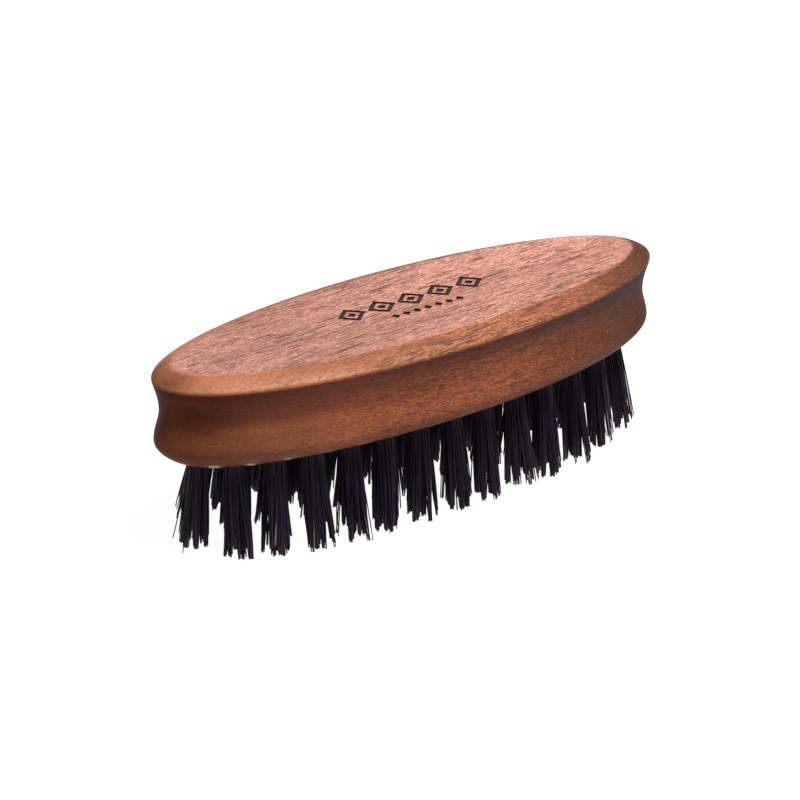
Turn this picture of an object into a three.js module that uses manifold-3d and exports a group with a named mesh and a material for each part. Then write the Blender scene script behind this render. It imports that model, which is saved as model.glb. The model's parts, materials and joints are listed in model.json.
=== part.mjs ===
// Beard brush: an oval, one-piece wooden body with a finger groove all round,
// and 45 tufts of bristle set in blind holes in its flat underside.
// Millimetres, +Z up, X along the body and Y across it.
// The trimmed bristle tips stand on Z = 0 and the flat top of the wood faces up.

import * as THREE from 'three';
import { mergeVertices } from 'three/addons/utils/BufferGeometryUtils.js';
import Module from 'manifold-3d';

const wasm = await Module();
wasm.setup();

// ---- Body outline ----
const bodyLength = 110;
const bodyWidth = 36;
const bodyThickness = 19.1;
const outlineSides = 76;

// ---- Edge profile: drops are measured down from the flat top, insets in from the widest outline ----
const topInset = 4.45; // edge of the flat top
const crestDrop = 2.1; // widest line of the upper lip
const bevelFullness = 0.35; // 0.5 is a straight bevel, less is rounder
const grooveDrop = 8.8; // deepest line of the finger groove
const grooveInset = 1.36;
const lipDrop = 14.6; // widest line of the lower lip
const lipInset = 0.2;
const lipFullness = 0.4; // how far the lip stays upright on its way to the underside
const undersideInset = 4.8; // edge of the flat underside
const stepsPerCurve = 4;

// ---- Bristle ----
const bristleLength = 18; // from the underside of the wood to the trimmed tips
const tuftRootDiameter = 3.6;
const tuftMiddleDiameter = 4.6;
const tuftTipDiameter = 5.4;
const tipRounding = 0.8;
const tuftSides = 10;
const ringLean = 3; // how far a ring tuft's tip stands outside its root
const innerLean = 0.8;

// ---- Holes and anchors ----
const fitGap = 0.3; // between a tuft or an anchor and whatever it sits in
const holeDepth = 7;
const holeSides = 12;
const anchorThickness = 0.5;
const anchorHeight = 1.6;
const anchorBite = 0.3; // how far each end of an anchor reaches into the wall of its hole
const foldThickness = 0.9; // bristle lying over the anchor

// ---- Tuft pattern ----
const ringTufts = 27;
const ringSquareness = 2.2; // 2 is an ellipse, more is squarer at the ends
const endWall = 1.4; // wood between a hole and the end of the flat underside
const sideWall = 0.3; // wood between a hole and the side of the flat underside
const ringToInnerStep = 8.7; // from the end of the ring to the first inner tuft
const pairedColumns = 7; // inner columns of two tufts, one in each row
const singleColumns = 2; // inner columns of one tuft on the centre line, at each end
const anchoredTufts = 14; // ring tufts along the front, whose anchors are modelled

// ---- Sizes that follow from those above ----
const undersideZ = bristleLength;
const topZ = undersideZ + bodyThickness;
const holeDiameter = tuftRootDiameter + 2 * fitGap;
const ringHalfLength = bodyLength / 2 - undersideInset - holeDiameter / 2 - endWall;
const ringHalfWidth = bodyWidth / 2 - undersideInset - holeDiameter / 2 - sideWall;
const rowOffset = ringHalfWidth / 3; // four rows evenly spaced across the widest part
const columnsPerSide = (pairedColumns - 1) / 2 + singleColumns;
const columnStep = (ringHalfLength - ringToInnerStep) / columnsPerSide;
const foldTopZ = undersideZ + holeDepth - fitGap;
const anchorZ = foldTopZ - foldThickness - fitGap - anchorHeight / 2;
const anchorLength = holeDiameter + 2 * anchorBite;

// ---- Materials ----
const wood = new THREE.MeshStandardMaterial({ color: 0x8a5238, roughness: 0.55, metalness: 0 });
const bristle = new THREE.MeshStandardMaterial({ color: 0x1b161a, roughness: 0.45, metalness: 0 });
const steel = new THREE.MeshStandardMaterial({ color: 0x9a9ca0, roughness: 0.35, metalness: 1 });

// A closed solid from a closed geometry, for joining and cutting.
function solidFrom(geometry) {
  const bare = geometry.clone();
  bare.deleteAttribute('normal');
  bare.deleteAttribute('uv');
  const merged = mergeVertices(bare, 1e-4);
  const corners = merged.index.array;
  const triangles = [];
  for (let i = 0; i < corners.length; i += 3) {
    const [a, b, c] = corners.slice(i, i + 3);
    if (a !== b && b !== c && c !== a) {
      triangles.push(a, b, c);
    }
  }
  return new wasm.Manifold(new wasm.Mesh({
    numProp: 3,
    vertProperties: new Float32Array(merged.attributes.position.array),
    triVerts: new Uint32Array(triangles),
  }));
}

function geometryFrom(solid) {
  const mesh = solid.getMesh();
  const geometry = new THREE.BufferGeometry();
  geometry.setAttribute('position', new THREE.BufferAttribute(mesh.vertProperties, 3));
  geometry.setIndex(new THREE.BufferAttribute(mesh.triVerts, 1));
  geometry.computeVertexNormals();
  return geometry;
}

function namedMesh(name, geometry, material) {
  const mesh = new THREE.Mesh(geometry, material);
  mesh.name = name;
  return mesh;
}

// A shape turned about the Z axis. The profile runs from its lowest to its highest point.
function turned(profile, sides) {
  return new THREE.LatheGeometry(profile, sides).rotateX(Math.PI / 2);
}

// Moves each vertex of a geometry to where the given function puts it.
function reshaped(geometry, move) {
  const positions = geometry.attributes.position;
  const point = new THREE.Vector3();
  for (let i = 0; i < positions.count; i += 1) {
    point.fromBufferAttribute(positions, i);
    move(point);
    positions.setXYZ(i, point.x, point.y, point.z);
  }
  return geometry;
}

// ---- Body ----

// The edge profile from the flat top down to the flat underside, as points of inset and drop.
function edgeProfile() {
  const profile = new THREE.CurvePath();
  const point = (inset, drop) => new THREE.Vector2(inset, drop);
  const third = (from, to) => from + (to - from) / 3;
  const bevel = new THREE.QuadraticBezierCurve(
    point(topInset, 0),
    point(bevelFullness * topInset, bevelFullness * crestDrop),
    point(0, crestDrop),
  );
  const upperGroove = new THREE.CubicBezierCurve(
    point(0, crestDrop),
    point(0, third(crestDrop, grooveDrop)),
    point(grooveInset, third(grooveDrop, crestDrop)),
    point(grooveInset, grooveDrop),
  );
  const lowerGroove = new THREE.CubicBezierCurve(
    point(grooveInset, grooveDrop),
    point(grooveInset, third(grooveDrop, lipDrop)),
    point(lipInset, third(lipDrop, grooveDrop)),
    point(lipInset, lipDrop),
  );
  const lowerLip = new THREE.QuadraticBezierCurve(
    point(lipInset, lipDrop),
    point(lipInset, lipDrop + lipFullness * (bodyThickness - lipDrop)),
    point(undersideInset, bodyThickness),
  );
  profile.curves.push(bevel, upperGroove, lowerGroove, lowerLip);
  return profile.getPoints(stepsPerCurve);
}

// A round body turned from the edge profile, then drawn out along X into an oval.
function bodyBlank() {
  const radius = bodyWidth / 2;
  const edge = edgeProfile().map(({ x: inset, y: drop }) => (
    new THREE.Vector2(radius - inset, topZ - drop)
  ));
  const onAxis = (z) => new THREE.Vector2(0, z);
  const profile = [onAxis(undersideZ), ...edge.reverse(), onAxis(topZ)];
  const stretch = (bodyLength - bodyWidth) / 2;
  return reshaped(turned(profile, outlineSides), (point) => {
    const distance = Math.hypot(point.x, point.y);
    if (distance > 0) {
      point.x += (stretch * point.x) / distance;
    }
  });
}

function holeCutter(root) {
  const below = 1;
  const radius = holeDiameter / 2;
  return new THREE.CylinderGeometry(radius, radius, holeDepth + below, holeSides)
    .rotateX(Math.PI / 2)
    .translate(root.x, root.y, undersideZ + (holeDepth - below) / 2);
}

// The room that an anchor needs, in the wood and through its tuft.
function anchorCutter(root) {
  return new THREE.BoxGeometry(
    anchorLength + 2 * fitGap,
    anchorThickness + 2 * fitGap,
    anchorHeight + 2 * fitGap,
  ).translate(root.x, root.y, anchorZ);
}

function handleBody(roots, anchoredRoots) {
  let solid = solidFrom(bodyBlank());
  for (const root of roots) {
    solid = solid.subtract(solidFrom(holeCutter(root)));
  }
  for (const root of anchoredRoots) {
    solid = solid.subtract(solidFrom(anchorCutter(root)));
  }
  return namedMesh('handle_body', geometryFrom(solid), wood);
}

// ---- Tuft pattern ----

class Ring extends THREE.Curve {
  // A superellipse that starts at the -X end and runs along the front (-Y) first.
  getPoint(t, target = new THREE.Vector2()) {
    const power = 2 / ringSquareness;
    const along = Math.cos(2 * Math.PI * t);
    const across = Math.sin(2 * Math.PI * t);
    return target.set(
      -ringHalfLength * Math.sign(along) * Math.abs(along) ** power,
      -ringHalfWidth * Math.sign(across) * Math.abs(across) ** power,
    );
  }
}

function ringRoots() {
  const ring = new Ring();
  ring.arcLengthDivisions = 40 * ringTufts;
  return ring.getSpacedPoints(ringTufts).slice(0, ringTufts);
}

function innerRoots() {
  const roots = [];
  for (let column = -columnsPerSide; column <= columnsPerSide; column += 1) {
    const x = column * columnStep;
    if (Math.abs(column) > columnsPerSide - singleColumns) {
      roots.push(new THREE.Vector2(x, 0));
    } else {
      roots.push(new THREE.Vector2(x, -rowOffset), new THREE.Vector2(x, rowOffset));
    }
  }
  return roots;
}

// The way a tuft leans: straight out from the ring's oval at its root.
function outward(root) {
  return new THREE.Vector2(root.x / ringHalfLength ** 2, root.y / ringHalfWidth ** 2).normalize();
}

// ---- Tufts and anchors ----

// A tuft: its folded root stands in the hole, and below the wood it flares and leans.
function tuftGeometry(root, lean) {
  const rootRadius = tuftRootDiameter / 2;
  const tipRadius = tuftTipDiameter / 2;
  const profile = [
    new THREE.Vector2(0, 0),
    new THREE.Vector2(tipRadius - tipRounding, 0),
    new THREE.Vector2(tipRadius, tipRounding),
    new THREE.Vector2(tuftMiddleDiameter / 2, undersideZ / 2),
    new THREE.Vector2(rootRadius, undersideZ),
    new THREE.Vector2(rootRadius, foldTopZ - foldThickness),
    new THREE.Vector2(rootRadius / 2, foldTopZ),
    new THREE.Vector2(0, foldTopZ),
  ];
  const direction = outward(root);
  return reshaped(turned(profile, tuftSides), (point) => {
    const share = Math.max(0, 1 - point.z / undersideZ);
    point.x += root.x + lean * share * direction.x;
    point.y += root.y + lean * share * direction.y;
  });
}

function tuft(name, root, lean, hasAnchor) {
  let solid = solidFrom(tuftGeometry(root, lean));
  if (hasAnchor) {
    solid = solid.subtract(solidFrom(anchorCutter(root)));
  }
  return namedMesh(name, geometryFrom(solid), bristle);
}

// A flat strip of metal across the hole, inside the fold of the tuft.
function anchor(name, root) {
  const mesh = namedMesh(name, new THREE.BoxGeometry(anchorLength, anchorThickness, anchorHeight), steel);
  mesh.position.set(root.x, root.y, anchorZ);
  return mesh;
}

// ---- The brush ----

const numbered = (stem, index) => `${stem}_${String(index + 1).padStart(2, '0')}`;

const ring = ringRoots();
const inner = innerRoots();
const brush = new THREE.Group();
brush.add(handleBody([...ring, ...inner], ring.slice(0, anchoredTufts)));
ring.forEach((root, index) => {
  const hasAnchor = index < anchoredTufts;
  brush.add(tuft(numbered('tuft_ring', index), root, ringLean, hasAnchor));
  if (hasAnchor) {
    brush.add(anchor(numbered('anchor', index), root));
  }
});
inner.forEach((root, index) => {
  brush.add(tuft(numbered('tuft_inner', index), root, innerLean, false));
});

export default brush;
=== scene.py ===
# %% [markdown]
# # A beard brush
# The brush is a palm-sized oval of walnut, routed from one block, with tufts of dark boar bristle
# standing in blind holes on its flat side. This lesson loads the engineered frame of the brush,
# keeps its sizes, and gives every piece its finished shape and material.
# The frame comes first: every length and place below is read from it or set beside it in millimetres.

# %% Load the frame
import json
import math
import random

import bmesh
import bpy
from mathutils import Matrix, Vector

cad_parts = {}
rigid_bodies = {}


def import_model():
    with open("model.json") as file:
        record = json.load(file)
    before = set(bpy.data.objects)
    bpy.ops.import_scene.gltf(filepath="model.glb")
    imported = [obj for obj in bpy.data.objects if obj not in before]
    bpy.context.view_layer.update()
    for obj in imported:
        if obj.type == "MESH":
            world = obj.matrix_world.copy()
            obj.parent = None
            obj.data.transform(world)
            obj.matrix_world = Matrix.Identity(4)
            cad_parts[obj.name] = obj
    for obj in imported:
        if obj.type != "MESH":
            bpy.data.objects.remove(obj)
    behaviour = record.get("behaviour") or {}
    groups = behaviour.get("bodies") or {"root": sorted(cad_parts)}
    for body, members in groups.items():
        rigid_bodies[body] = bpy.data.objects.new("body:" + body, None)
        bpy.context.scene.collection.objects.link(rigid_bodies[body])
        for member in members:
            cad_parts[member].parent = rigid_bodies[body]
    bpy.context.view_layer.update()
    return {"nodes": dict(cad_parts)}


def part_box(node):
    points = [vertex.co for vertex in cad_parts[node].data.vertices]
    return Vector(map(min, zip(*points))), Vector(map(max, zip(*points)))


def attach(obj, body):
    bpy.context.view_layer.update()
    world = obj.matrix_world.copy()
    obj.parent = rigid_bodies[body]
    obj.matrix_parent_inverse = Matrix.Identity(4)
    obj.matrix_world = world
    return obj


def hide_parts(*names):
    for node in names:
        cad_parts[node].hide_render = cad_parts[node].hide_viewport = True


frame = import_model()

mm = 0.001

# %% [markdown]
# ## Where things are
# The wood's box gives its length, width and height. Each tuft leans, so its box says little about
# where it is rooted. Its highest points are in the hole and its lowest ones are at the trimmed tips,
# and the middle of each group gives the two ends of the tuft.

# %% Read the sizes of the wood and the two ends of each tuft
wood_low, wood_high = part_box("handle_body")
half_length = wood_high.x
half_width = wood_high.y
underside = wood_low.z
top = wood_high.z


def middle_at_height(node, height):
    """The middle of a node's points that lie at one height."""
    points = [v.co for v in frame["nodes"][node].data.vertices if abs(v.co.z - height) < 0.01 * mm]
    lowest = [min(point[axis] for point in points) for axis in range(3)]
    highest = [max(point[axis] for point in points) for axis in range(3)]
    return (Vector(lowest) + Vector(highest)) / 2


tuft_nodes = sorted(name for name in frame["nodes"] if name.startswith("tuft_"))
tuft_roots = {name: middle_at_height(name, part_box(name)[1].z) for name in tuft_nodes}
tuft_tips = {name: middle_at_height(name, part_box(name)[0].z) for name in tuft_nodes}
hole_end = max(root.z for root in tuft_roots.values())
print(len(tuft_nodes), "tufts; the wood is", round((top - underside) / mm, 2), "mm thick")

# %% [markdown]
# ## Camera
# A long lens held far away suits a small product, because its far end is then drawn almost as large
# as its near end. The camera is placed by the point it looks at, its compass direction, its height
# angle, a slight roll and its distance.

# %% Camera
view_aim = Vector((-4.06, -2.75, 18.98)) * mm
view_azimuth = math.radians(-34.91)
view_elevation = math.radians(26.70)
view_roll = math.radians(0.53)
view_distance = 623.1 * mm
turn = (
    Matrix.Rotation(view_azimuth, 4, "Z")
    @ Matrix.Rotation(math.pi / 2 - view_elevation, 4, "X")
    @ Matrix.Rotation(view_roll, 4, "Z")
)
lens = bpy.data.cameras.new("Camera")
lens.lens = 150.3
lens.sensor_width = 36
lens.clip_start = 0.01
camera = bpy.data.objects.new("Camera", lens)
bpy.context.scene.collection.objects.link(camera)
camera.matrix_world = Matrix.Translation(view_aim + turn @ Vector((0, 0, view_distance))) @ turn
bpy.context.scene.camera = camera
print("camera stands at", [round(value, 3) for value in camera.matrix_world.translation])

# %% [markdown]
# ## Studio
# The brush stands on an opal light table, whose even glow swallows most of the shadow. A softbox
# hangs almost straight above, a little to the front and the right, so the crest of the body throws
# the groove below it into shade. A white card behind the brush is mirrored at a low angle in the
# flat top, and veils its colour with a satin sheen.


# %% Helpers for objects and shader nodes
def put_in_scene(name, data):
    """A new object at the origin of the scene."""
    piece = bpy.data.objects.new(name, data)
    bpy.context.scene.collection.objects.link(piece)
    return piece


def add(tree, kind, inputs=None, **settings):
    """A new node. Settings are its options, and inputs are values or other nodes' outputs."""
    made = tree.nodes.new(kind)
    for name, value in settings.items():
        setattr(made, name, value)
    for name, value in (inputs or {}).items():
        socket = made.inputs[name]
        if isinstance(value, bpy.types.NodeSocket):
            tree.links.new(value, socket)
        else:
            socket.default_value = value
    return made


def maths(tree, operation, *values):
    """The result of one Math node."""
    return add(tree, "ShaderNodeMath", dict(enumerate(values)), operation=operation).outputs[0]


def plus(tree, first, second):
    return maths(tree, "ADD", first, second)


def minus(tree, first, second):
    return maths(tree, "SUBTRACT", first, second)


def times(tree, first, second):
    return maths(tree, "MULTIPLY", first, second)


def vector_maths(tree, operation, *values):
    """The vector result of one Vector Math node."""
    return add(tree, "ShaderNodeVectorMath", dict(enumerate(values)), operation=operation).outputs[0]


def vector_plus(tree, first, second):
    return vector_maths(tree, "ADD", first, second)


def vector_minus(tree, first, second):
    return vector_maths(tree, "SUBTRACT", first, second)


def vector_times(tree, first, second):
    return vector_maths(tree, "MULTIPLY", first, second)


def scaled(tree, vector, amount):
    """A vector made longer or shorter."""
    sockets = {0: vector, "Scale": amount}
    return add(tree, "ShaderNodeVectorMath", sockets, operation="SCALE").outputs[0]


def blend_colours(tree, amount, first, second, how="MIX"):
    """Two colours mixed by an amount from 0 to 1."""
    sockets = {0: amount, 6: first, 7: second}
    mixed = add(tree, "ShaderNodeMix", sockets, data_type="RGBA", blend_type=how, clamp_factor=True)
    return mixed.outputs[2]


def between(tree, value, low, high, to_low=0.0, to_high=1.0):
    """A value's place between two limits, as a smooth step from one result to another."""
    sockets = {"Value": value, 1: low, 2: high, 3: to_low, 4: to_high}
    return add(tree, "ShaderNodeMapRange", sockets, interpolation_type="SMOOTHSTEP").outputs[0]


def new_material(name):
    """An empty material with its Principled shader."""
    material = bpy.data.materials.new(name)
    material.use_nodes = True
    return material, material.node_tree, material.node_tree.nodes["Principled BSDF"]


# %% Floor and lights
floor_size = 4.0
floor_glow = 0.97
room_light = 0.14
cool_white = (0.95, 0.97, 1.0)


def make_floor():
    material, tree, shader = new_material("opal_light_table")
    shader.inputs["Base Color"].default_value = (0.16, 0.16, 0.16, 1)
    shader.inputs["Roughness"].default_value = 0.9
    shader.inputs["Specular IOR Level"].default_value = 0.1
    shader.inputs["Emission Color"].default_value = (1, 1, 1, 1)
    shader.inputs["Emission Strength"].default_value = floor_glow
    mesh = bpy.data.meshes.new("floor")
    half = floor_size / 2
    corners = [(-half, -half, 0), (half, -half, 0), (half, half, 0), (-half, half, 0)]
    mesh.from_pydata(corners, [], [(0, 1, 2, 3)])
    mesh.materials.append(material)
    floor = put_in_scene("floor", mesh)


def softbox(name, place, width, height, power, colour):
    """A rectangular soft light that faces the brush."""
    light = bpy.data.lights.new(name, "AREA")
    light.shape = "RECTANGLE"
    light.size = width
    light.size_y = height
    light.energy = power
    light.color = colour
    lamp = put_in_scene(name, light)
    lamp.location = place
    lamp.rotation_euler = (Vector(place) - Vector((0, 0, underside))).to_track_quat("Z", "Y").to_euler()


make_floor()
softbox("softbox_above", (0.10, -0.26, 0.83), 0.26, 0.20, 16.4, (1.0, 0.985, 0.965))
softbox("card_behind", (0.38, 0.72, 0.40), 0.8, 0.4, 1.0, cool_white)

world = bpy.data.worlds.new("studio")
world.use_nodes = True
background = world.node_tree.nodes["Background"].inputs
background["Color"].default_value = cool_white + (1,)
background["Strength"].default_value = room_light
bpy.context.scene.world = world
bpy.context.scene.view_settings.view_transform = "Standard"
print("studio: floor", floor_size, "m and", len(bpy.data.lights), "soft lights")

# %% [markdown]
# ## The walnut body
# On the real brush a shaped cutter runs round an oval blank. It leaves a rounded bevel, a sharp
# crest, a hollow groove for the fingers and a rounded lower lip. A boolean of many tools could copy
# that, but a loft is simpler: the same edge profile is drawn round the oval, ring by ring.
# Each ring is an ellipse, inset from the widest outline by the profile's depth at that height.

# %% The edge profile, as inset and drop below the flat top
flat_inset = 4.45 * mm
crest_drop = 2.1 * mm
groove_drop = 8.8 * mm
groove_inset = 1.36 * mm
lip_drop = 14.6 * mm
lip_inset = 0.2 * mm
underside_inset = 4.8 * mm
bevel_fullness = 0.35
crest_hold = 0.16
lip_fullness = 0.4
arris_radius = 0.45 * mm
steps_per_curve = 12
steps_per_arris = 5
sides_round = 240
thickness = top - underside


def bezier(points, share):
    """The point at a share of the way along a Bezier curve of any degree."""
    points = [Vector(point) for point in points]
    while len(points) > 1:
        points = [a.lerp(b, share) for a, b in zip(points, points[1:])]
    return points[0]


def slide(from_inset, from_drop, to_inset, to_drop, first_hold, last_hold):
    """An S-shaped stretch of the profile. The holds are how long it stays upright at each end."""
    fall = to_drop - from_drop
    return [
        (from_inset, from_drop), (from_inset, from_drop + first_hold * fall),
        (to_inset, to_drop - last_hold * fall), (to_inset, to_drop),
    ]


def edge_curves():
    bevel_bend = (bevel_fullness * flat_inset, bevel_fullness * crest_drop)
    bevel = [(flat_inset, 0), bevel_bend, (0, crest_drop)]
    upper_groove = slide(0, crest_drop, groove_inset, groove_drop, crest_hold, 0.5)
    lower_groove = slide(groove_inset, groove_drop, lip_inset, lip_drop, 1 / 3, 1 / 3)
    lip_turn = lip_drop + lip_fullness * (thickness - lip_drop)
    lower_lip = [(lip_inset, lip_drop), (lip_inset, lip_turn), (underside_inset, thickness)]
    return [bevel, upper_groove, lower_groove, lower_lip]


def sampled(curve):
    return [bezier(curve, step / steps_per_curve) for step in range(steps_per_curve + 1)]


def eased(line, corner):
    """A sharp corner of the profile worn to a small arc."""
    place = line.index(corner)
    before = [point for point in line[:place] if (point - corner).length > 1.2 * arris_radius]
    after = [point for point in line[place + 1:] if (point - corner).length > 1.2 * arris_radius]
    start = corner + (before[-1] - corner).normalized() * arris_radius
    end = corner + (after[0] - corner).normalized() * arris_radius
    arc = [bezier([start, corner, end], step / steps_per_arris) for step in range(steps_per_arris + 1)]
    return before + arc + after


def edge_profile():
    """The whole profile from the middle of the flat top to the middle of the underside."""
    bevel, upper_groove, lower_groove, lower_lip = [sampled(curve) for curve in edge_curves()]
    top_flat = Vector((flat_inset + 2 * arris_radius, 0))
    bottom_flat = Vector((underside_inset + 2 * arris_radius, thickness))
    line = [top_flat] + bevel + upper_groove[1:] + lower_groove[1:] + lower_lip[1:] + [bottom_flat]
    for corner in (bevel[0], bevel[-1], lower_lip[-1]):
        line = eased(line, corner)
    return line


print("edge profile:", len(edge_profile()), "points")


# %% Loft the body
def oval(inset, height):
    """One ring of points round the body."""
    angles = [2 * math.pi * side / sides_round for side in range(sides_round)]
    return [
        Vector(((half_length - inset) * math.cos(a), (half_width - inset) * math.sin(a), height))
        for a in angles
    ]


def skin(shape, rings):
    """Joins rings of equal count with faces, and closes the first and the last."""
    loops = [[shape.verts.new(point) for point in ring] for ring in rings]
    for upper, lower in zip(loops, loops[1:]):
        for i in range(len(upper)):
            j = (i + 1) % len(upper)
            shape.faces.new((upper[i], lower[i], lower[j], upper[j]))
    shape.faces.new(loops[0])
    shape.faces.new(reversed(loops[-1]))
    return shape


def mesh_from(name, shape):
    """A mesh whose faces all point outwards."""
    bmesh.ops.recalc_face_normals(shape, faces=shape.faces)
    mesh = bpy.data.meshes.new(name)
    shape.to_mesh(mesh)
    shape.free()
    return mesh


body_shape = skin(bmesh.new(), [oval(point.x, top - point.y) for point in edge_profile()])
handle = put_in_scene("walnut_body", mesh_from("walnut_body", body_shape))
print("body loft:", len(handle.data.polygons), "faces")

# %% [markdown]
# ## Holes, anchor slots and the engraved ornament
# The bristle holes are drilled blind, and each has a slot where the ends of its anchor bit into
# the wood. The top carries a small burnt ornament, sunk by a quarter of a millimetre. Both
# are real cuts: one mesh of tools is made for each, and a Boolean modifier takes it away. The tools
# carry their own material, so the floor of the ornament comes out dark.

# %% Cutting tools
anchor_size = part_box("anchor_01")[1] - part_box("anchor_01")[0]
anchor_middle = sum(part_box("anchor_01"), Vector()) / 2
anchor_bite = 0.3 * mm
hole_radius = anchor_size.x / 2 - anchor_bite
hole_sides = 28
drill_point = 0.6 * mm
drill_tip_share = 0.2
anchor_slack = 0.1 * mm
slot_size = anchor_size + Vector((1, 1, 1)) * 2 * anchor_slack
clear_of_wood = 1 * mm


def circle(centre, radius, height, sides):
    angles = [2 * math.pi * side / sides for side in range(sides)]
    return [
        Vector((centre.x + radius * math.cos(a), centre.y + radius * math.sin(a), height)) for a in angles
    ]


def add_drill(shape, root):
    """A drill with a blunt point, standing below the wood and reaching up into it."""
    skin(shape, [
        circle(root, drill_tip_share * hole_radius, hole_end + drill_point, hole_sides),
        circle(root, hole_radius, hole_end, hole_sides),
        circle(root, hole_radius, underside - clear_of_wood, hole_sides),
    ])


def add_block(shape, centre, size):
    corners = [(-1, -1), (1, -1), (1, 1), (-1, 1)]
    rings = [
        [centre + Vector((x * size.x, y * size.y, z * size.z)) / 2 for x, y in corners]
        for z in (1, -1)
    ]
    skin(shape, rings)


def add_slot(shape, root):
    """A block a little larger than an anchor, at the anchor's height."""
    add_block(shape, Vector((root.x, root.y, anchor_middle.z)), slot_size)


def make_tools(name, draw):
    """One object that holds the same tool at each root."""
    shape = bmesh.new()
    for root in tuft_roots.values():
        draw(shape, root)
    return put_in_scene(name, mesh_from(name, shape))


drills = make_tools("drills", add_drill)
slots = make_tools("slots", add_slot)
print("tools:", len(tuft_roots), "drills and", len(tuft_roots), "slot cutters")

# %% The ornament: a chain of lozenges over a row of small diamonds
ornament_depth = 0.25 * mm
lozenge_count = 5
lozenge_step = 6.6 * mm
lozenge = Vector((3.1, 2.8)) * mm
lozenge_line = 0.60
heart = Vector((1.0, 0.9)) * mm
chain_middle = Vector((0.9, 1.15)) * mm
row_count = 7
row_step = 2.4 * mm
row_diamond = Vector((0.9, 0.9)) * mm
row_middle = Vector((1.4, -3.7)) * mm


def diamond(middle, half):
    return [
        middle + Vector((half.x, 0)), middle + Vector((0, half.y)),
        middle - Vector((half.x, 0)), middle - Vector((0, half.y)),
    ]


def at_height(outline, height):
    return [Vector((point.x, point.y, height)) for point in outline]


def add_stamp(shape, outline):
    """A solid stamp that reaches down to the ornament's floor."""
    skin(shape, [at_height(outline, top + clear_of_wood), at_height(outline, top - ornament_depth)])


def add_frame_stamp(shape, outer, inner):
    """A stamp with a hole through it, which leaves a frame."""
    levels = (top + clear_of_wood, top - ornament_depth)
    loops = [[shape.verts.new(p) for p in at_height(o, z)] for o in (outer, inner) for z in levels]
    outer_high, outer_low, inner_high, inner_low = loops
    walls = (
        (outer_high, outer_low), (inner_low, inner_high), (inner_high, outer_high), (outer_low, inner_low),
    )
    for first, second in walls:
        for i in range(len(first)):
            j = (i + 1) % len(first)
            shape.faces.new((first[i], second[i], second[j], first[j]))


def in_a_row(middle, count, step):
    """Evenly spaced places along the brush."""
    return [middle + Vector(((number - (count - 1) / 2) * step, 0)) for number in range(count)]


def make_stamps():
    shape = bmesh.new()
    for middle in in_a_row(chain_middle, lozenge_count, lozenge_step):
        add_frame_stamp(shape, diamond(middle, lozenge), diamond(middle, lozenge * lozenge_line))
        add_stamp(shape, diamond(middle, heart))
    for middle in in_a_row(row_middle, row_count, row_step):
        add_stamp(shape, diamond(middle, row_diamond))
    return put_in_scene("stamps", mesh_from("stamps", shape))


stamps = make_stamps()
print("ornament:", lozenge_count, "lozenges over", row_count, "diamonds")

# %% [markdown]
# ## Walnut
# Wood is a solid, so its figure is drawn in space and every cut shows the right grain: long lines on
# the top, slanting ones on the sides, specks on the ends. Six things make it walnut. Growth rings
# shade slowly from light to dark round a pith that lies outside the block. Fine fibres run along the
# grain, with long faint threads among them. Open pores show as dark dashes, in beds with clearer wood
# between them. A sandy speckle covers everything. And the colour drifts from pale to deep over a few
# centimetres.
# The routed edge is redder and darker than the sanded flat top, whose paler tone holds a painted sheen.
# The edge's colour also follows the depth below the flat top, as painted light: a painted highlight on
# the crest, and painted shade in the groove under it and on the lower lip. The painted shade of the
# groove reaches lower towards the left end, at -X, where the marks of the grain are fainter too.
# Both ends are darker, partly as end grain that soaks up oil and partly as painted shade. These tones
# hold painted shade, so they are the first thing to soften in another light.

# %% Sizes and colours of the wood's figure
grain_turn = (math.radians(2.0), math.radians(1.0), math.radians(-3.0))
grain_shift = (140.0, 3.3, -8.4)
pith = (0.0, 14.0, -38.0)
ring_width = 3.4
ring_wander = 9.0

# Marks for each millimetre along the grain and across it.
ring_wander_grain = (0.02, 0.09, 0.09)
drift_grain = (0.03, 0.13, 0.13)
bed_grain = (0.018, 0.30, 0.30)
fibre_grain = (0.80, 4.6, 4.6)
thread_grain = (0.06, 2.0, 2.0)
pore_grain = (0.20, 3.3, 3.3)
sand_grain = (3.6, 4.8, 4.8)

# How strongly each kind of mark shows.
ring_strength = 0.14
fibre_strength = 0.96
thread_strength = 0.34
sand_strength = 0.78
pore_strength = 0.74
char_strength = 0.96

# The flat top's colours: the sanded wood's own paler tone, with a painted sheen in them.
sanded_pale_and_sheen = (0.590, 0.298, 0.230, 1)
sanded_deep_and_sheen = (0.480, 0.228, 0.168, 1)
shaped_pale = (0.390, 0.136, 0.058, 1)
shaped_deep = (0.292, 0.094, 0.040, 1)
mark_shade = (0.36, 0.31, 0.31, 1)
pore_colour = (0.060, 0.022, 0.016, 1)
char_colour = (0.016, 0.006, 0.004, 1)

# Depth below the flat top in millimetres, and how pale the edge is there, over most of the brush and
# towards the left end: a painted highlight on the crest, and painted shade in the groove and under the
# lower lip. A darker tone is also redder, by the powers of the shade redness.
edge_shade_tones = (
    (0.0, 1.08), (1.5, 1.04), (1.9, 1.20), (2.2, 1.14), (2.7, 0.42), (3.8, 0.48),
    (5.4, 0.56), (6.0, 0.82), (14.4, 0.88), (17.0, 0.76), (19.1, 0.6),
)
left_edge_shade_tones = (
    (0.0, 1.04), (1.5, 1.06), (1.9, 1.26), (2.2, 1.16), (2.7, 0.44), (4.4, 0.60),
    (8.0, 0.64), (10.5, 0.84), (14.4, 0.92), (17.0, 0.76), (19.1, 0.6),
)
shade_redness = (1.0, 1.65, 1.65)
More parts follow.
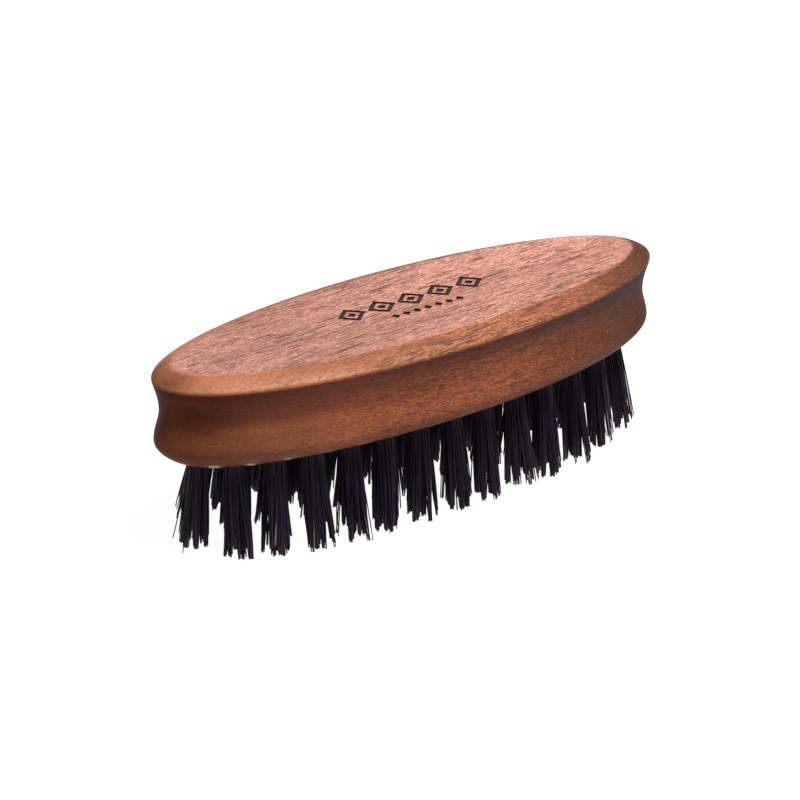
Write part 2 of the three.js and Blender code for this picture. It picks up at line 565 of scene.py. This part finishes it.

# Each run is one smooth change: from one place to another in millimetres, and from one strength to
# another. Places are along the brush from its middle, or below the flat top.
# Painted shade towards both ends of the bevel and the groove, partly also end grain that soaks up oil.
bevel_right_end_shade = (20.0, 53.0, 1.0, 0.34)
bevel_left_end_shade = (-55.0, -46.0, 0.45, 1.0)
groove_right_end_shade = (8.0, 52.0, 1.0, 0.30)
groove_left_end_shade = (-52.0, -18.0, 0.42, 1.0)
# Where the painted shade of the groove reaches lower: towards the left end.
left_shade_run = (-30.0, 12.0, 1.0, 0.0)
rubbed_run = (-40.0, 0.0, 0.40, 1.0)
end_grain_run = (36.0, 52.0)
# Painted light: the flat top grows brighter towards +X.
sanded_light_run = (-45.0, 30.0, 0.92, 1.14)
routed_run = (0.0, 0.30)
below_crest_run = (2.2, 3.4)
wax_run = (17.0, 18.4, 0.0, 0.34)

# How strongly light is mirrored by the flat top and the bevel, the groove and the waxed lip.
bevel_shine = 0.20
groove_shine = 0.10
end_grain_loss = 0.07
lip_shine = 0.50
print("walnut: rings", ring_width, "mm wide, edge toned at", len(edge_shade_tones), "depths")


# %% Nodes of the wood's figure
def stretched_noise(tree, grain, marks, detail=3.0, roughness=0.55):
    """Noise whose features are longer along the grain."""
    place = vector_times(tree, grain, marks)
    sockets = {"Vector": place, "Scale": 1.0, "Detail": detail, "Roughness": roughness}
    return add(tree, "ShaderNodeTexNoise", sockets).outputs["Fac"]


def growth_rings(tree, grain):
    """0 in early wood to 1 in late wood, in rings round the pith."""
    wander = stretched_noise(tree, grain, ring_wander_grain, 2.0)
    flat = vector_times(tree, vector_minus(tree, grain, pith), (0, 1, 1))
    distance = add(tree, "ShaderNodeVectorMath", {0: flat}, operation="LENGTH").outputs["Value"]
    wavy = plus(tree, distance, times(tree, wander, ring_wander))
    phase = maths(tree, "FRACT", maths(tree, "DIVIDE", wavy, ring_width))
    return times(tree, between(tree, phase, 0.15, 0.85), between(tree, phase, 0.88, 1.0, 1.0, 0.0))


def grain_space(tree):
    """Object coordinates, and the same place in millimetres, turned so that X runs along the grain."""
    place = add(tree, "ShaderNodeTexCoord").outputs["Object"]
    in_mm = (1 / mm, 1 / mm, 1 / mm)
    sockets = {"Vector": place, "Location": grain_shift, "Rotation": grain_turn, "Scale": in_mm}
    return place, add(tree, "ShaderNodeMapping", sockets).outputs["Vector"]


def edge_shade_and_highlight(tree, drop, tones):
    """The routed edge's tone by depth: painted highlight on the crest, painted shade in the groove and
    lip.
    """
    deepest = tones[-1][0]
    ramp = add(tree, "ShaderNodeValToRGB", {"Fac": maths(tree, "DIVIDE", drop, deepest)})
    stops = ramp.color_ramp.elements
    while len(stops) < len(tones):
        stops.new(0.5)
    for stop, (depth, tone) in zip(stops, tones):
        stop.position = depth / deepest
        stop.color = tuple(tone ** power for power in shade_redness) + (1,)
    return ramp.outputs["Color"]


def blend_amount(tree, share, first, second):
    """Two numbers mixed by a share from 0 to 1."""
    return add(tree, "ShaderNodeMix", {0: share, 2: first, 3: second}, data_type="FLOAT").outputs[0]


def end_grain_and_shade(tree, along, drop):
    """How much brightness the edge keeps towards the ends: painted shade, partly also end grain."""
    bevel = between(tree, along, *bevel_right_end_shade)
    bevel = times(tree, bevel, between(tree, along, *bevel_left_end_shade))
    groove = between(tree, along, *groove_right_end_shade)
    groove = times(tree, groove, between(tree, along, *groove_left_end_shade))
    return blend_amount(tree, between(tree, drop, *below_crest_run), bevel, groove)


def bare_wood(tree, grain, along, drop, routed):
    """Colour before the grain: pink with painted sheen where sanded, brown with painted shade where
    routed.
    """
    drift = between(tree, stretched_noise(tree, grain, drift_grain, 2.0), 0.3, 0.7)
    # Painted highlight and shade by depth, whose shade reaches lower towards the left end.
    sheltered = between(tree, along, *left_shade_run)
    tone = blend_colours(
        tree, sheltered, edge_shade_and_highlight(tree, drop, edge_shade_tones), edge_shade_and_highlight(tree, drop, left_edge_shade_tones),
    )
    shaped = blend_colours(tree, drift, shaped_pale, shaped_deep)
    shaped = blend_colours(tree, 1.0, shaped, tone, "MULTIPLY")
    # Painted shade towards both ends, partly also end grain.
    shaped = scaled(tree, shaped, end_grain_and_shade(tree, along, drop))
    sanded = blend_colours(tree, drift, sanded_pale_and_sheen, sanded_deep_and_sheen)
    # Painted light: the flat top is brighter towards +X.
    sanded = scaled(tree, sanded, between(tree, along, *sanded_light_run))
    return blend_colours(tree, routed, sanded, shaped)


def open_pores(tree, grain, clear, toward_end):
    """Dark dashes, thicker in the beds and fewer where the edge is clear or near an end."""
    beds = between(tree, stretched_noise(tree, grain, bed_grain, 2.0), 0.35, 0.65)
    pores = stretched_noise(tree, grain, pore_grain, 1.0)
    pores = plus(tree, pores, times(tree, minus(tree, beds, 0.5), 0.08))
    pores = between(tree, pores, 0.55, 0.63)
    pores = times(tree, pores, minus(tree, clear, times(tree, toward_end, 0.4)))
    return maths(tree, "MAXIMUM", pores, 0.0)


def grained(tree, colour, grain, fibres, pores, clear):
    """The bare wood's colour with its rings, fibres, threads, speckle and pores laid over it."""
    threads = stretched_noise(tree, grain, thread_grain, 2.0, 0.6)
    sand = stretched_noise(tree, grain, sand_grain, 1.0, 0.7)
    layers = (
        times(tree, growth_rings(tree, grain), ring_strength),
        times(tree, between(tree, fibres, 0.40, 0.60, 0.0, fibre_strength), clear),
        between(tree, threads, 0.54, 0.66, 0.0, thread_strength),
        times(tree, between(tree, sand, 0.42, 0.60, 0.0, sand_strength), clear),
    )
    dark = blend_colours(tree, 1.0, colour, mark_shade, "MULTIPLY")
    for layer in layers:
        colour = blend_colours(tree, layer, colour, dark)
    return blend_colours(tree, times(tree, pores, pore_strength), colour, pore_colour)


# %% Walnut materials
def make_walnut(name, burnt=False):
    material, tree, shader = new_material(name)
    place, grain = grain_space(tree)
    apart = add(tree, "ShaderNodeSeparateXYZ", {0: place}).outputs
    drop = maths(tree, "DIVIDE", minus(tree, top, apart["Z"]), mm)
    along = maths(tree, "DIVIDE", apart["X"], mm)
    routed = between(tree, drop, *routed_run)
    toward_end = between(tree, maths(tree, "ABSOLUTE", along), *end_grain_run)
    clear = blend_amount(tree, routed, 1.0, between(tree, along, *rubbed_run))

    fibres = stretched_noise(tree, grain, fibre_grain, 2.0, 0.8)
    pores = open_pores(tree, grain, clear, toward_end)
    colour = bare_wood(tree, grain, along, drop, routed)
    colour = grained(tree, colour, grain, fibres, pores, clear)
    if burnt:
        colour = blend_colours(tree, char_strength, colour, char_colour)
    tree.links.new(colour, shader.inputs["Base Color"])

    # Pores are rough, and the lower lip is smooth, as if waxed.
    rough = plus(tree, between(tree, fibres, 0.3, 0.8, 0.48, 0.62), times(tree, pores, 0.20))
    rough = minus(tree, rough, between(tree, drop, *wax_run))
    tree.links.new(rough, shader.inputs["Roughness"])

    # The groove and the end grain are dull, and the waxed lip shines.
    dull = minus(tree, groove_shine, times(tree, toward_end, end_grain_loss))
    shine = blend_amount(tree, between(tree, drop, 2.2, 3.0), bevel_shine, dull)
    shine = blend_amount(tree, between(tree, drop, 17.0, 18.0), shine, lip_shine)
    tree.links.new(shine, shader.inputs["Specular IOR Level"])

    relief = minus(tree, times(tree, fibres, 0.6), times(tree, pores, 0.8))
    bump = add(tree, "ShaderNodeBump", {"Height": relief, "Strength": 0.5, "Distance": 0.08 * mm})
    tree.links.new(bump.outputs["Normal"], shader.inputs["Normal"])
    return material


walnut = make_walnut("walnut")
burnt_walnut = make_walnut("burnt_walnut", burnt=True)
print("materials:", walnut.name, "and", burnt_walnut.name)


# %% Cut the body and shade it
def plain_mesh(piece):
    """Turns what a piece's modifiers make into its own mesh, and takes the modifiers away."""
    seen = piece.evaluated_get(bpy.context.evaluated_depsgraph_get())
    mesh = bpy.data.meshes.new_from_object(seen)
    piece.modifiers.clear()
    piece.data = mesh
    return piece


def cut_away(piece, tools):
    """Takes tools out of a piece, and removes them from the scene."""
    cut = piece.modifiers.new("cut", "BOOLEAN")
    cut.operation = "DIFFERENCE"
    cut.solver = "EXACT"
    cut.use_self = True
    cut.material_mode = "TRANSFER"
    cut.object = tools
    plain_mesh(piece)
    bpy.data.objects.remove(tools)


handle.data.materials.append(walnut)
for tools, finish in ((drills, walnut), (slots, walnut), (stamps, burnt_walnut)):
    tools.data.materials.append(finish)
    cut_away(handle, tools)
handle.data.shade_smooth()
handle.data.set_sharp_from_angle(angle=math.radians(30))
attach(handle, "root")
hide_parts("handle_body")
print("cut body:", len(handle.data.polygons), "faces, materials", [m.name for m in handle.data.materials])

# %% [markdown]
# ## Bristle tufts
# A bundle of bristle is folded in half over its anchor and pushed into the hole, so every bristle is
# a long hairpin: one leg on each side of the anchor, and both tips at the trimmed end. Particle hair
# could fake this, but it doesn't export, so Geometry Nodes draw it. One straight line is
# duplicated for each hairpin, and each point of it is moved to its place by its step from the fold.
# Neighbouring bristles cling together in small clumps, as combed bristle does: each leg is drawn to
# the middle of the Voronoi cell that it stands in, and shares the cell's lean and length.
# The same tree makes every tuft, from its own root, tip and seed.

# %% Settings that all tufts share
root_radius = 1.95 * mm
strand_thickness = 0.23 * mm
hairpins_per_tuft = 110
leg_steps = 8
steps_in_hole = 2
fold_drop = 0.9 * mm
anchor_gap = anchor_size.y / 2 + 0.12 * mm
hole_squeeze = 0.2
clump_size = 1.2 * mm
clump_pull = 0.74
clump_pull_power = 2.6
whim = 0.16 * mm
bow = 0.35 * mm
rebel_share = 0.025
own_loss_share = 0.85
own_loss_power = 3.2
clump_loss_share = 0.9
clump_loss_power = 3.0
tip_taper = 0.6
thinnest_strand = 0.75
thickest_strand = 1.15
bow_gain = 3.0
print("each tuft:", hairpins_per_tuft, "hairpins,", 2 * hairpins_per_tuft, "tips")


# %% Helpers for the tuft's node tree
TUFT_INPUTS = (
    ("Root", "NodeSocketVector"), ("Lean", "NodeSocketVector"), ("Length", "NodeSocketFloat"),
    ("Flare", "NodeSocketFloat"), ("Clumping", "NodeSocketFloat"), ("Raggedness", "NodeSocketFloat"),
    ("Stray", "NodeSocketFloat"), ("Hairpins", "NodeSocketInt"), ("Seed", "NodeSocketInt"),
    ("Material", "NodeSocketMaterial"),
)


def random_number(tree, low, high, identity, seed, turn=0):
    """A random number for each identity. The turn keeps one random quantity apart from the next."""
    sockets = {2: low, 3: high, "ID": identity, "Seed": plus(tree, seed, float(turn))}
    return add(tree, "FunctionNodeRandomValue", sockets, data_type="FLOAT").outputs[1]


def random_vector(tree, spread, identity, seed, turn):
    """A random level vector for each identity."""
    low, high = (-spread, -spread, 0), (spread, spread, 0)
    sockets = {0: low, 1: high, "ID": identity, "Seed": plus(tree, seed, float(turn))}
    return add(tree, "FunctionNodeRandomValue", sockets, data_type="FLOAT_VECTOR").outputs[0]


def xyz(tree, x, y, z):
    return add(tree, "ShaderNodeCombineXYZ", {0: x, 1: y, 2: z}).outputs[0]


def named_value(tree, geometry, name, value):
    """Stores a number on every point of a geometry, for the material to read."""
    sockets = {"Geometry": geometry, "Name": name, "Value": value}
    stored = add(tree, "GeometryNodeStoreNamedAttribute", sockets, data_type="FLOAT", domain="POINT")
    return stored.outputs["Geometry"]


# %% [markdown]
# The tree is long, so each of its jobs has a function: draw the lines, stand them in the hole, find
# their clumps, lead them outwards, set how far down they reach, and give them thickness. Each takes
# node sockets and returns node sockets.


# %% The parts of the tuft's node tree
def straight_hairpins(tree, given):
    """One straight line of points for each hairpin, and the hairpins' numbers."""
    line = add(tree, "GeometryNodeCurvePrimitiveLine").outputs["Curve"]
    sockets = {"Curve": line, "Count": 2 * leg_steps + 1}
    line = add(tree, "GeometryNodeResampleCurve", sockets).outputs["Curve"]
    sockets = {"Geometry": line, "Amount": given["Hairpins"]}
    copies = add(tree, "GeometryNodeDuplicateElements", sockets, domain="SPLINE")
    return copies.outputs["Geometry"], copies.outputs["Duplicate Index"]


def stand_in_hole(tree, hairpin, leg, seed):
    """Where a leg stands in the hole: somewhere in half a disc, one half for each leg."""
    reach = maths(tree, "SQRT", random_number(tree, 0.0, 1.0, hairpin, seed))
    angle = random_number(tree, 0.0, math.pi, hairpin, seed, 1)
    around_x = times(tree, reach, maths(tree, "COSINE", angle))
    around_y = times(tree, leg, times(tree, reach, maths(tree, "SINE", angle)))
    return scaled(tree, xyz(tree, around_x, around_y, 0.0), root_radius)


def clump_of(tree, stand, root):
    """The way from a leg to the middle of its clump, and three random numbers of that clump."""
    per_clump = 1 / clump_size
    lookup = vector_plus(tree, scaled(tree, stand, per_clump), scaled(tree, root, per_clump))
    cells = add(tree, "ShaderNodeTexVoronoi", {"Vector": lookup, "Scale": 1.0}, voronoi_dimensions="2D")
    to_middle = scaled(tree, vector_minus(tree, cells.outputs["Position"], lookup), clump_size)
    luck = add(tree, "ShaderNodeSeparateXYZ", {0: cells.outputs["Color"]}).outputs
    return vector_times(tree, to_middle, (1, 1, 0)), luck


def travel_of(tree, given, stand, luck, leg_name):
    """How far a leg has moved sideways at its tip: the tuft's lean and flare, its clump's and its own."""
    seed = given["Seed"]
    clump_way = xyz(tree, minus(tree, luck["X"], 0.5), minus(tree, luck["Y"], 0.5), 0.0)
    own_way = random_vector(tree, whim, leg_name, seed, 2)
    rebel = maths(tree, "GREATER_THAN", random_number(tree, 0.0, 1.0, leg_name, seed, 3), 1 - rebel_share)
    wild = scaled(tree, random_vector(tree, 1.0, leg_name, seed, 4), given["Stray"])
    travel = vector_plus(tree, given["Lean"], scaled(tree, stand, given["Flare"]))
    travel = vector_plus(tree, travel, scaled(tree, clump_way, given["Clumping"]))
    return vector_plus(tree, travel, vector_plus(tree, own_way, scaled(tree, wild, rebel)))


def bowed(tree, leg_name, seed, outside):
    """A slight bend that is widest half-way down."""
    belly = times(tree, outside, minus(tree, 1.0, outside))
    return scaled(tree, random_vector(tree, bow, leg_name, seed, 5), times(tree, belly, bow_gain))


def height_of(tree, given, luck, leg_name, inside, outside, shoulder):
    """The height of a point. Some bristles are short, and each clump ends at its own height."""
    short = random_number(tree, 0.0, 1.0, leg_name, given["Seed"], 6)
    own_loss = times(tree, maths(tree, "POWER", short, own_loss_power), own_loss_share)
    clump_loss = times(tree, maths(tree, "POWER", luck["Z"], clump_loss_power), clump_loss_share)
    loss = times(tree, plus(tree, own_loss, clump_loss), given["Raggedness"])
    sunk = times(tree, inside, hole_end - underside)
    rise = minus(tree, sunk, times(tree, shoulder, fold_drop))
    reach_down = times(tree, minus(tree, given["Length"], loss), outside)
    return minus(tree, plus(tree, rise, underside), reach_down)


def solid_strands(tree, strands, given, leg_name, outside):
    """Thin tapered tubes round the lines, with their random tone and the place along them stored."""
    seed = given["Seed"]
    width = random_number(tree, thinnest_strand, thickest_strand, leg_name, seed, 8)
    taper = minus(tree, 1.0, times(tree, maths(tree, "POWER", outside, 2.0), tip_taper))
    sockets = {"Curve": strands, "Radius": times(tree, taper, width)}
    strands = add(tree, "GeometryNodeSetCurveRadius", sockets).outputs["Curve"]
    strands = named_value(tree, strands, "tone", random_number(tree, 0.0, 1.0, leg_name, seed, 9))
    strands = named_value(tree, strands, "along", outside)
    sockets = {"Resolution": 4, "Radius": strand_thickness / 2}
    section = add(tree, "GeometryNodeCurvePrimitiveCircle", sockets).outputs["Curve"]
    sockets = {"Curve": strands, "Profile Curve": section, "Fill Caps": True}
    tubes = add(tree, "GeometryNodeCurveToMesh", sockets).outputs["Mesh"]
    sockets = {"Geometry": tubes, "Shade Smooth": True}
    return add(tree, "GeometryNodeSetShadeSmooth", sockets).outputs["Geometry"]


# %% The tuft's node tree
def build_tuft_tree():
    tree = bpy.data.node_groups.new("bristle_tuft", "GeometryNodeTree")
    for name, kind in TUFT_INPUTS:
        tree.interface.new_socket(name, in_out="INPUT", socket_type=kind)
    tree.interface.new_socket("Geometry", in_out="OUTPUT", socket_type="NodeSocketGeometry")
    given = add(tree, "NodeGroupInput").outputs
    lines, hairpin = straight_hairpins(tree, given)

    # Each point's step from the fold, which leg it is on, and how far out of the wood it is.
    place = add(tree, "GeometryNodeSplineParameter").outputs["Index"]
    signed_step = minus(tree, place, float(leg_steps))
    step = maths(tree, "ABSOLUTE", signed_step)
    leg = maths(tree, "SIGN", signed_step)
    leg_name = plus(tree, times(tree, hairpin, 3.0), leg)
    past_hole = minus(tree, step, float(steps_in_hole))
    outside = maths(tree, "DIVIDE", past_hole, float(leg_steps - steps_in_hole))
    outside = maths(tree, "MAXIMUM", outside, 0.0)
    inside = between(tree, step, 1.0, 2.0, 1.0, 0.0)
    shoulder = times(tree, inside, maths(tree, "MINIMUM", step, 1.0))

    # The root of the leg, pinched in the hole and held apart by the anchor.
    stand = stand_in_hole(tree, hairpin, leg, given["Seed"])
    pinched = scaled(tree, stand, minus(tree, 1.0, times(tree, inside, hole_squeeze)))
    slit = times(tree, times(tree, leg, shoulder), anchor_gap)
    path = vector_plus(tree, pinched, xyz(tree, 0.0, slit, 0.0))

    # The way of the leg outside the wood.
    to_middle, luck = clump_of(tree, stand, given["Root"])
    gather = times(tree, maths(tree, "POWER", outside, clump_pull_power), clump_pull)
    path = vector_plus(tree, path, scaled(tree, travel_of(tree, given, stand, luck, leg_name), outside))
    path = vector_plus(tree, path, scaled(tree, to_middle, gather))
    path = vector_plus(tree, path, bowed(tree, leg_name, given["Seed"], outside))
    height = height_of(tree, given, luck, leg_name, inside, outside, shoulder)
    path = vector_plus(tree, path, xyz(tree, 0.0, 0.0, height))
    path = vector_plus(tree, path, vector_times(tree, given["Root"], (1, 1, 0)))

    moved = add(tree, "GeometryNodeSetPosition", {"Geometry": lines, "Position": path}).outputs["Geometry"]
    strands = solid_strands(tree, moved, given, leg_name, outside)
    real = add(tree, "GeometryNodeRealizeInstances", {"Geometry": strands}).outputs["Geometry"]
    sockets = {"Geometry": real, "Material": given["Material"]}
    dressed = add(tree, "GeometryNodeSetMaterial", sockets).outputs["Geometry"]
    add(tree, "NodeGroupOutput", {"Geometry": dressed})
    return tree


tuft_tree = build_tuft_tree()
print("tuft tree:", len(tuft_tree.nodes), "nodes")

# %% [markdown]
# ## Bristle material
# Boar bristle is nearly black here, with a violet-brown cast and a narrow gloss along each strand.
# A few strands in every tuft grew ginger or end in white, and each bristle pales a little towards
# its tip.
# The tree wrote a random tone and the place along the strand on every point, and the material
# reads both.


# %% Bristle material
dark_bristle = (0.0064, 0.0016, 0.0105, 1)
brown_bristle = (0.0132, 0.0054, 0.0170, 1)
ginger_bristle = (0.040, 0.015, 0.010, 1)
white_bristle = (0.24, 0.18, 0.16, 1)
pale_tip = (0.040, 0.026, 0.026, 1)
bristle_shine = 0.20


def make_bristle_material():
    material, tree, shader = new_material("boar_bristle")
    tone = add(tree, "ShaderNodeAttribute", attribute_name="tone").outputs["Fac"]
    along = add(tree, "ShaderNodeAttribute", attribute_name="along").outputs["Fac"]
    colour = blend_colours(tree, tone, dark_bristle, brown_bristle)
    colour = blend_colours(tree, between(tree, tone, 0.984, 0.987), colour, ginger_bristle)
    white = times(tree, between(tree, tone, 0.990, 0.992), between(tree, along, 0.62, 0.92))
    colour = blend_colours(tree, white, colour, white_bristle)
    paler = blend_colours(tree, 0.5, colour, pale_tip)
    colour = blend_colours(tree, between(tree, along, 0.80, 1.0, 0.0, 0.5), colour, paler)
    tree.links.new(colour, shader.inputs["Base Color"])
    tree.links.new(between(tree, tone, 0.0, 1.0, 0.38, 0.55), shader.inputs["Roughness"])
    shader.inputs["Specular IOR Level"].default_value = bristle_shine
    return material


bristle = make_bristle_material()
print("material:", bristle.name)

# %% Make one piece for each tuft
whims = random.Random(11)
bristle_length = underside
trim_spread = 0.3 * mm
drift = Vector((-0.8, 0, 0)) * mm
wander_reach = Vector((0.7, 0.6)) * mm
tip_radius = 2.65 * mm
left_lean = 0.35
right_lean = 0.80
worn_from = 30 * mm
worn_length = 3.4 * mm
worn_radius = 0.2 * mm
clumping = 1.2 * mm
raggedness = 3.1 * mm
stray = 0.8 * mm
seeds_per_tuft = 20


def make_tuft(node, seed):
    """A tuft between its root and its tip, as one plain mesh. Those of the right end are shorter."""
    root = tuft_roots[node]
    lean = tuft_tips[node] - root
    lean.x *= left_lean if lean.x < 0 else right_lean
    wander_x = whims.uniform(-wander_reach.x, wander_reach.x)
    wander_y = whims.uniform(-wander_reach.y, wander_reach.y)
    worn = max(0, (root.x - worn_from) / (half_length - worn_from))
    sizes = {
        "Root": (root.x, root.y, 0.0),
        "Lean": tuple(Vector((lean.x + wander_x, lean.y + wander_y, 0)) + drift),
        "Length": bristle_length - whims.uniform(0.0, trim_spread) - worn * worn * worn_length,
        "Flare": (tip_radius - worn * worn_radius) / root_radius - 1,
        "Clumping": clumping,
        "Raggedness": raggedness,
        "Stray": stray,
        "Hairpins": hairpins_per_tuft,
        "Seed": seed,
        "Material": bristle,
    }
    piece = put_in_scene("bristles_" + node.removeprefix("tuft_"), bpy.data.meshes.new("bristles"))
    growth = piece.modifiers.new("growth", "NODES")
    growth.node_group = tuft_tree
    for socket in tuft_tree.interface.items_tree:
        if socket.in_out == "INPUT":
            growth[socket.identifier] = sizes[socket.name]
    plain_mesh(piece)
    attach(piece, "root")
    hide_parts(node)
    return piece


tufts = [make_tuft(node, seeds_per_tuft * number) for number, node in enumerate(tuft_nodes)]
print("tufts:", len(tufts), "pieces of about", len(tufts[0].data.polygons), "faces")

# %% [markdown]
# ## Anchors
# Each tuft is held by a short length of flat steel wire, driven across the hole so that its ends
# bite into the wood. The front ones come with the frame and only need their metal. The others are
# drawn here, the same size and at the same depth, under every tuft that has none.


# %% Anchor metal and the remaining anchors
drawn_marks = (400, 9000, 9000)
dark_steel = (0.50, 0.50, 0.52, 1)
bright_steel = (0.66, 0.66, 0.67, 1)


def make_anchor_metal():
    material, tree, shader = new_material("drawn_steel")
    place = add(tree, "ShaderNodeTexCoord").outputs["Object"]
    drawn = add(tree, "ShaderNodeMapping", {"Vector": place, "Scale": drawn_marks}).outputs["Vector"]
    lines = add(tree, "ShaderNodeTexNoise", {"Vector": drawn, "Scale": 1.0, "Detail": 3.0}).outputs["Fac"]
    colour = blend_colours(tree, lines, dark_steel, bright_steel)
    tree.links.new(colour, shader.inputs["Base Color"])
    tree.links.new(between(tree, lines, 0.2, 0.8, 0.28, 0.45), shader.inputs["Roughness"])
    shader.inputs["Metallic"].default_value = 1.0
    return material


steel = make_anchor_metal()
anchor_nodes = sorted(name for name in frame["nodes"] if name.startswith("anchor_"))
for name in anchor_nodes:
    for slot in frame["nodes"][name].material_slots:
        slot.material = steel

held = [sum(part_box(name), Vector()) / 2 for name in anchor_nodes]
bare_roots = [root for root in tuft_roots.values() if min((root.xy - h.xy).length for h in held) > 1 * mm]
anchor_shape = bmesh.new()
for root in bare_roots:
    add_block(anchor_shape, Vector((root.x, root.y, anchor_middle.z)), anchor_size)
rear_anchors = put_in_scene("rear_anchors", mesh_from("rear_anchors", anchor_shape))
rear_anchors.data.materials.append(steel)
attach(rear_anchors, "root")
print(len(anchor_nodes), "anchors from the frame and", len(bare_roots), "more")
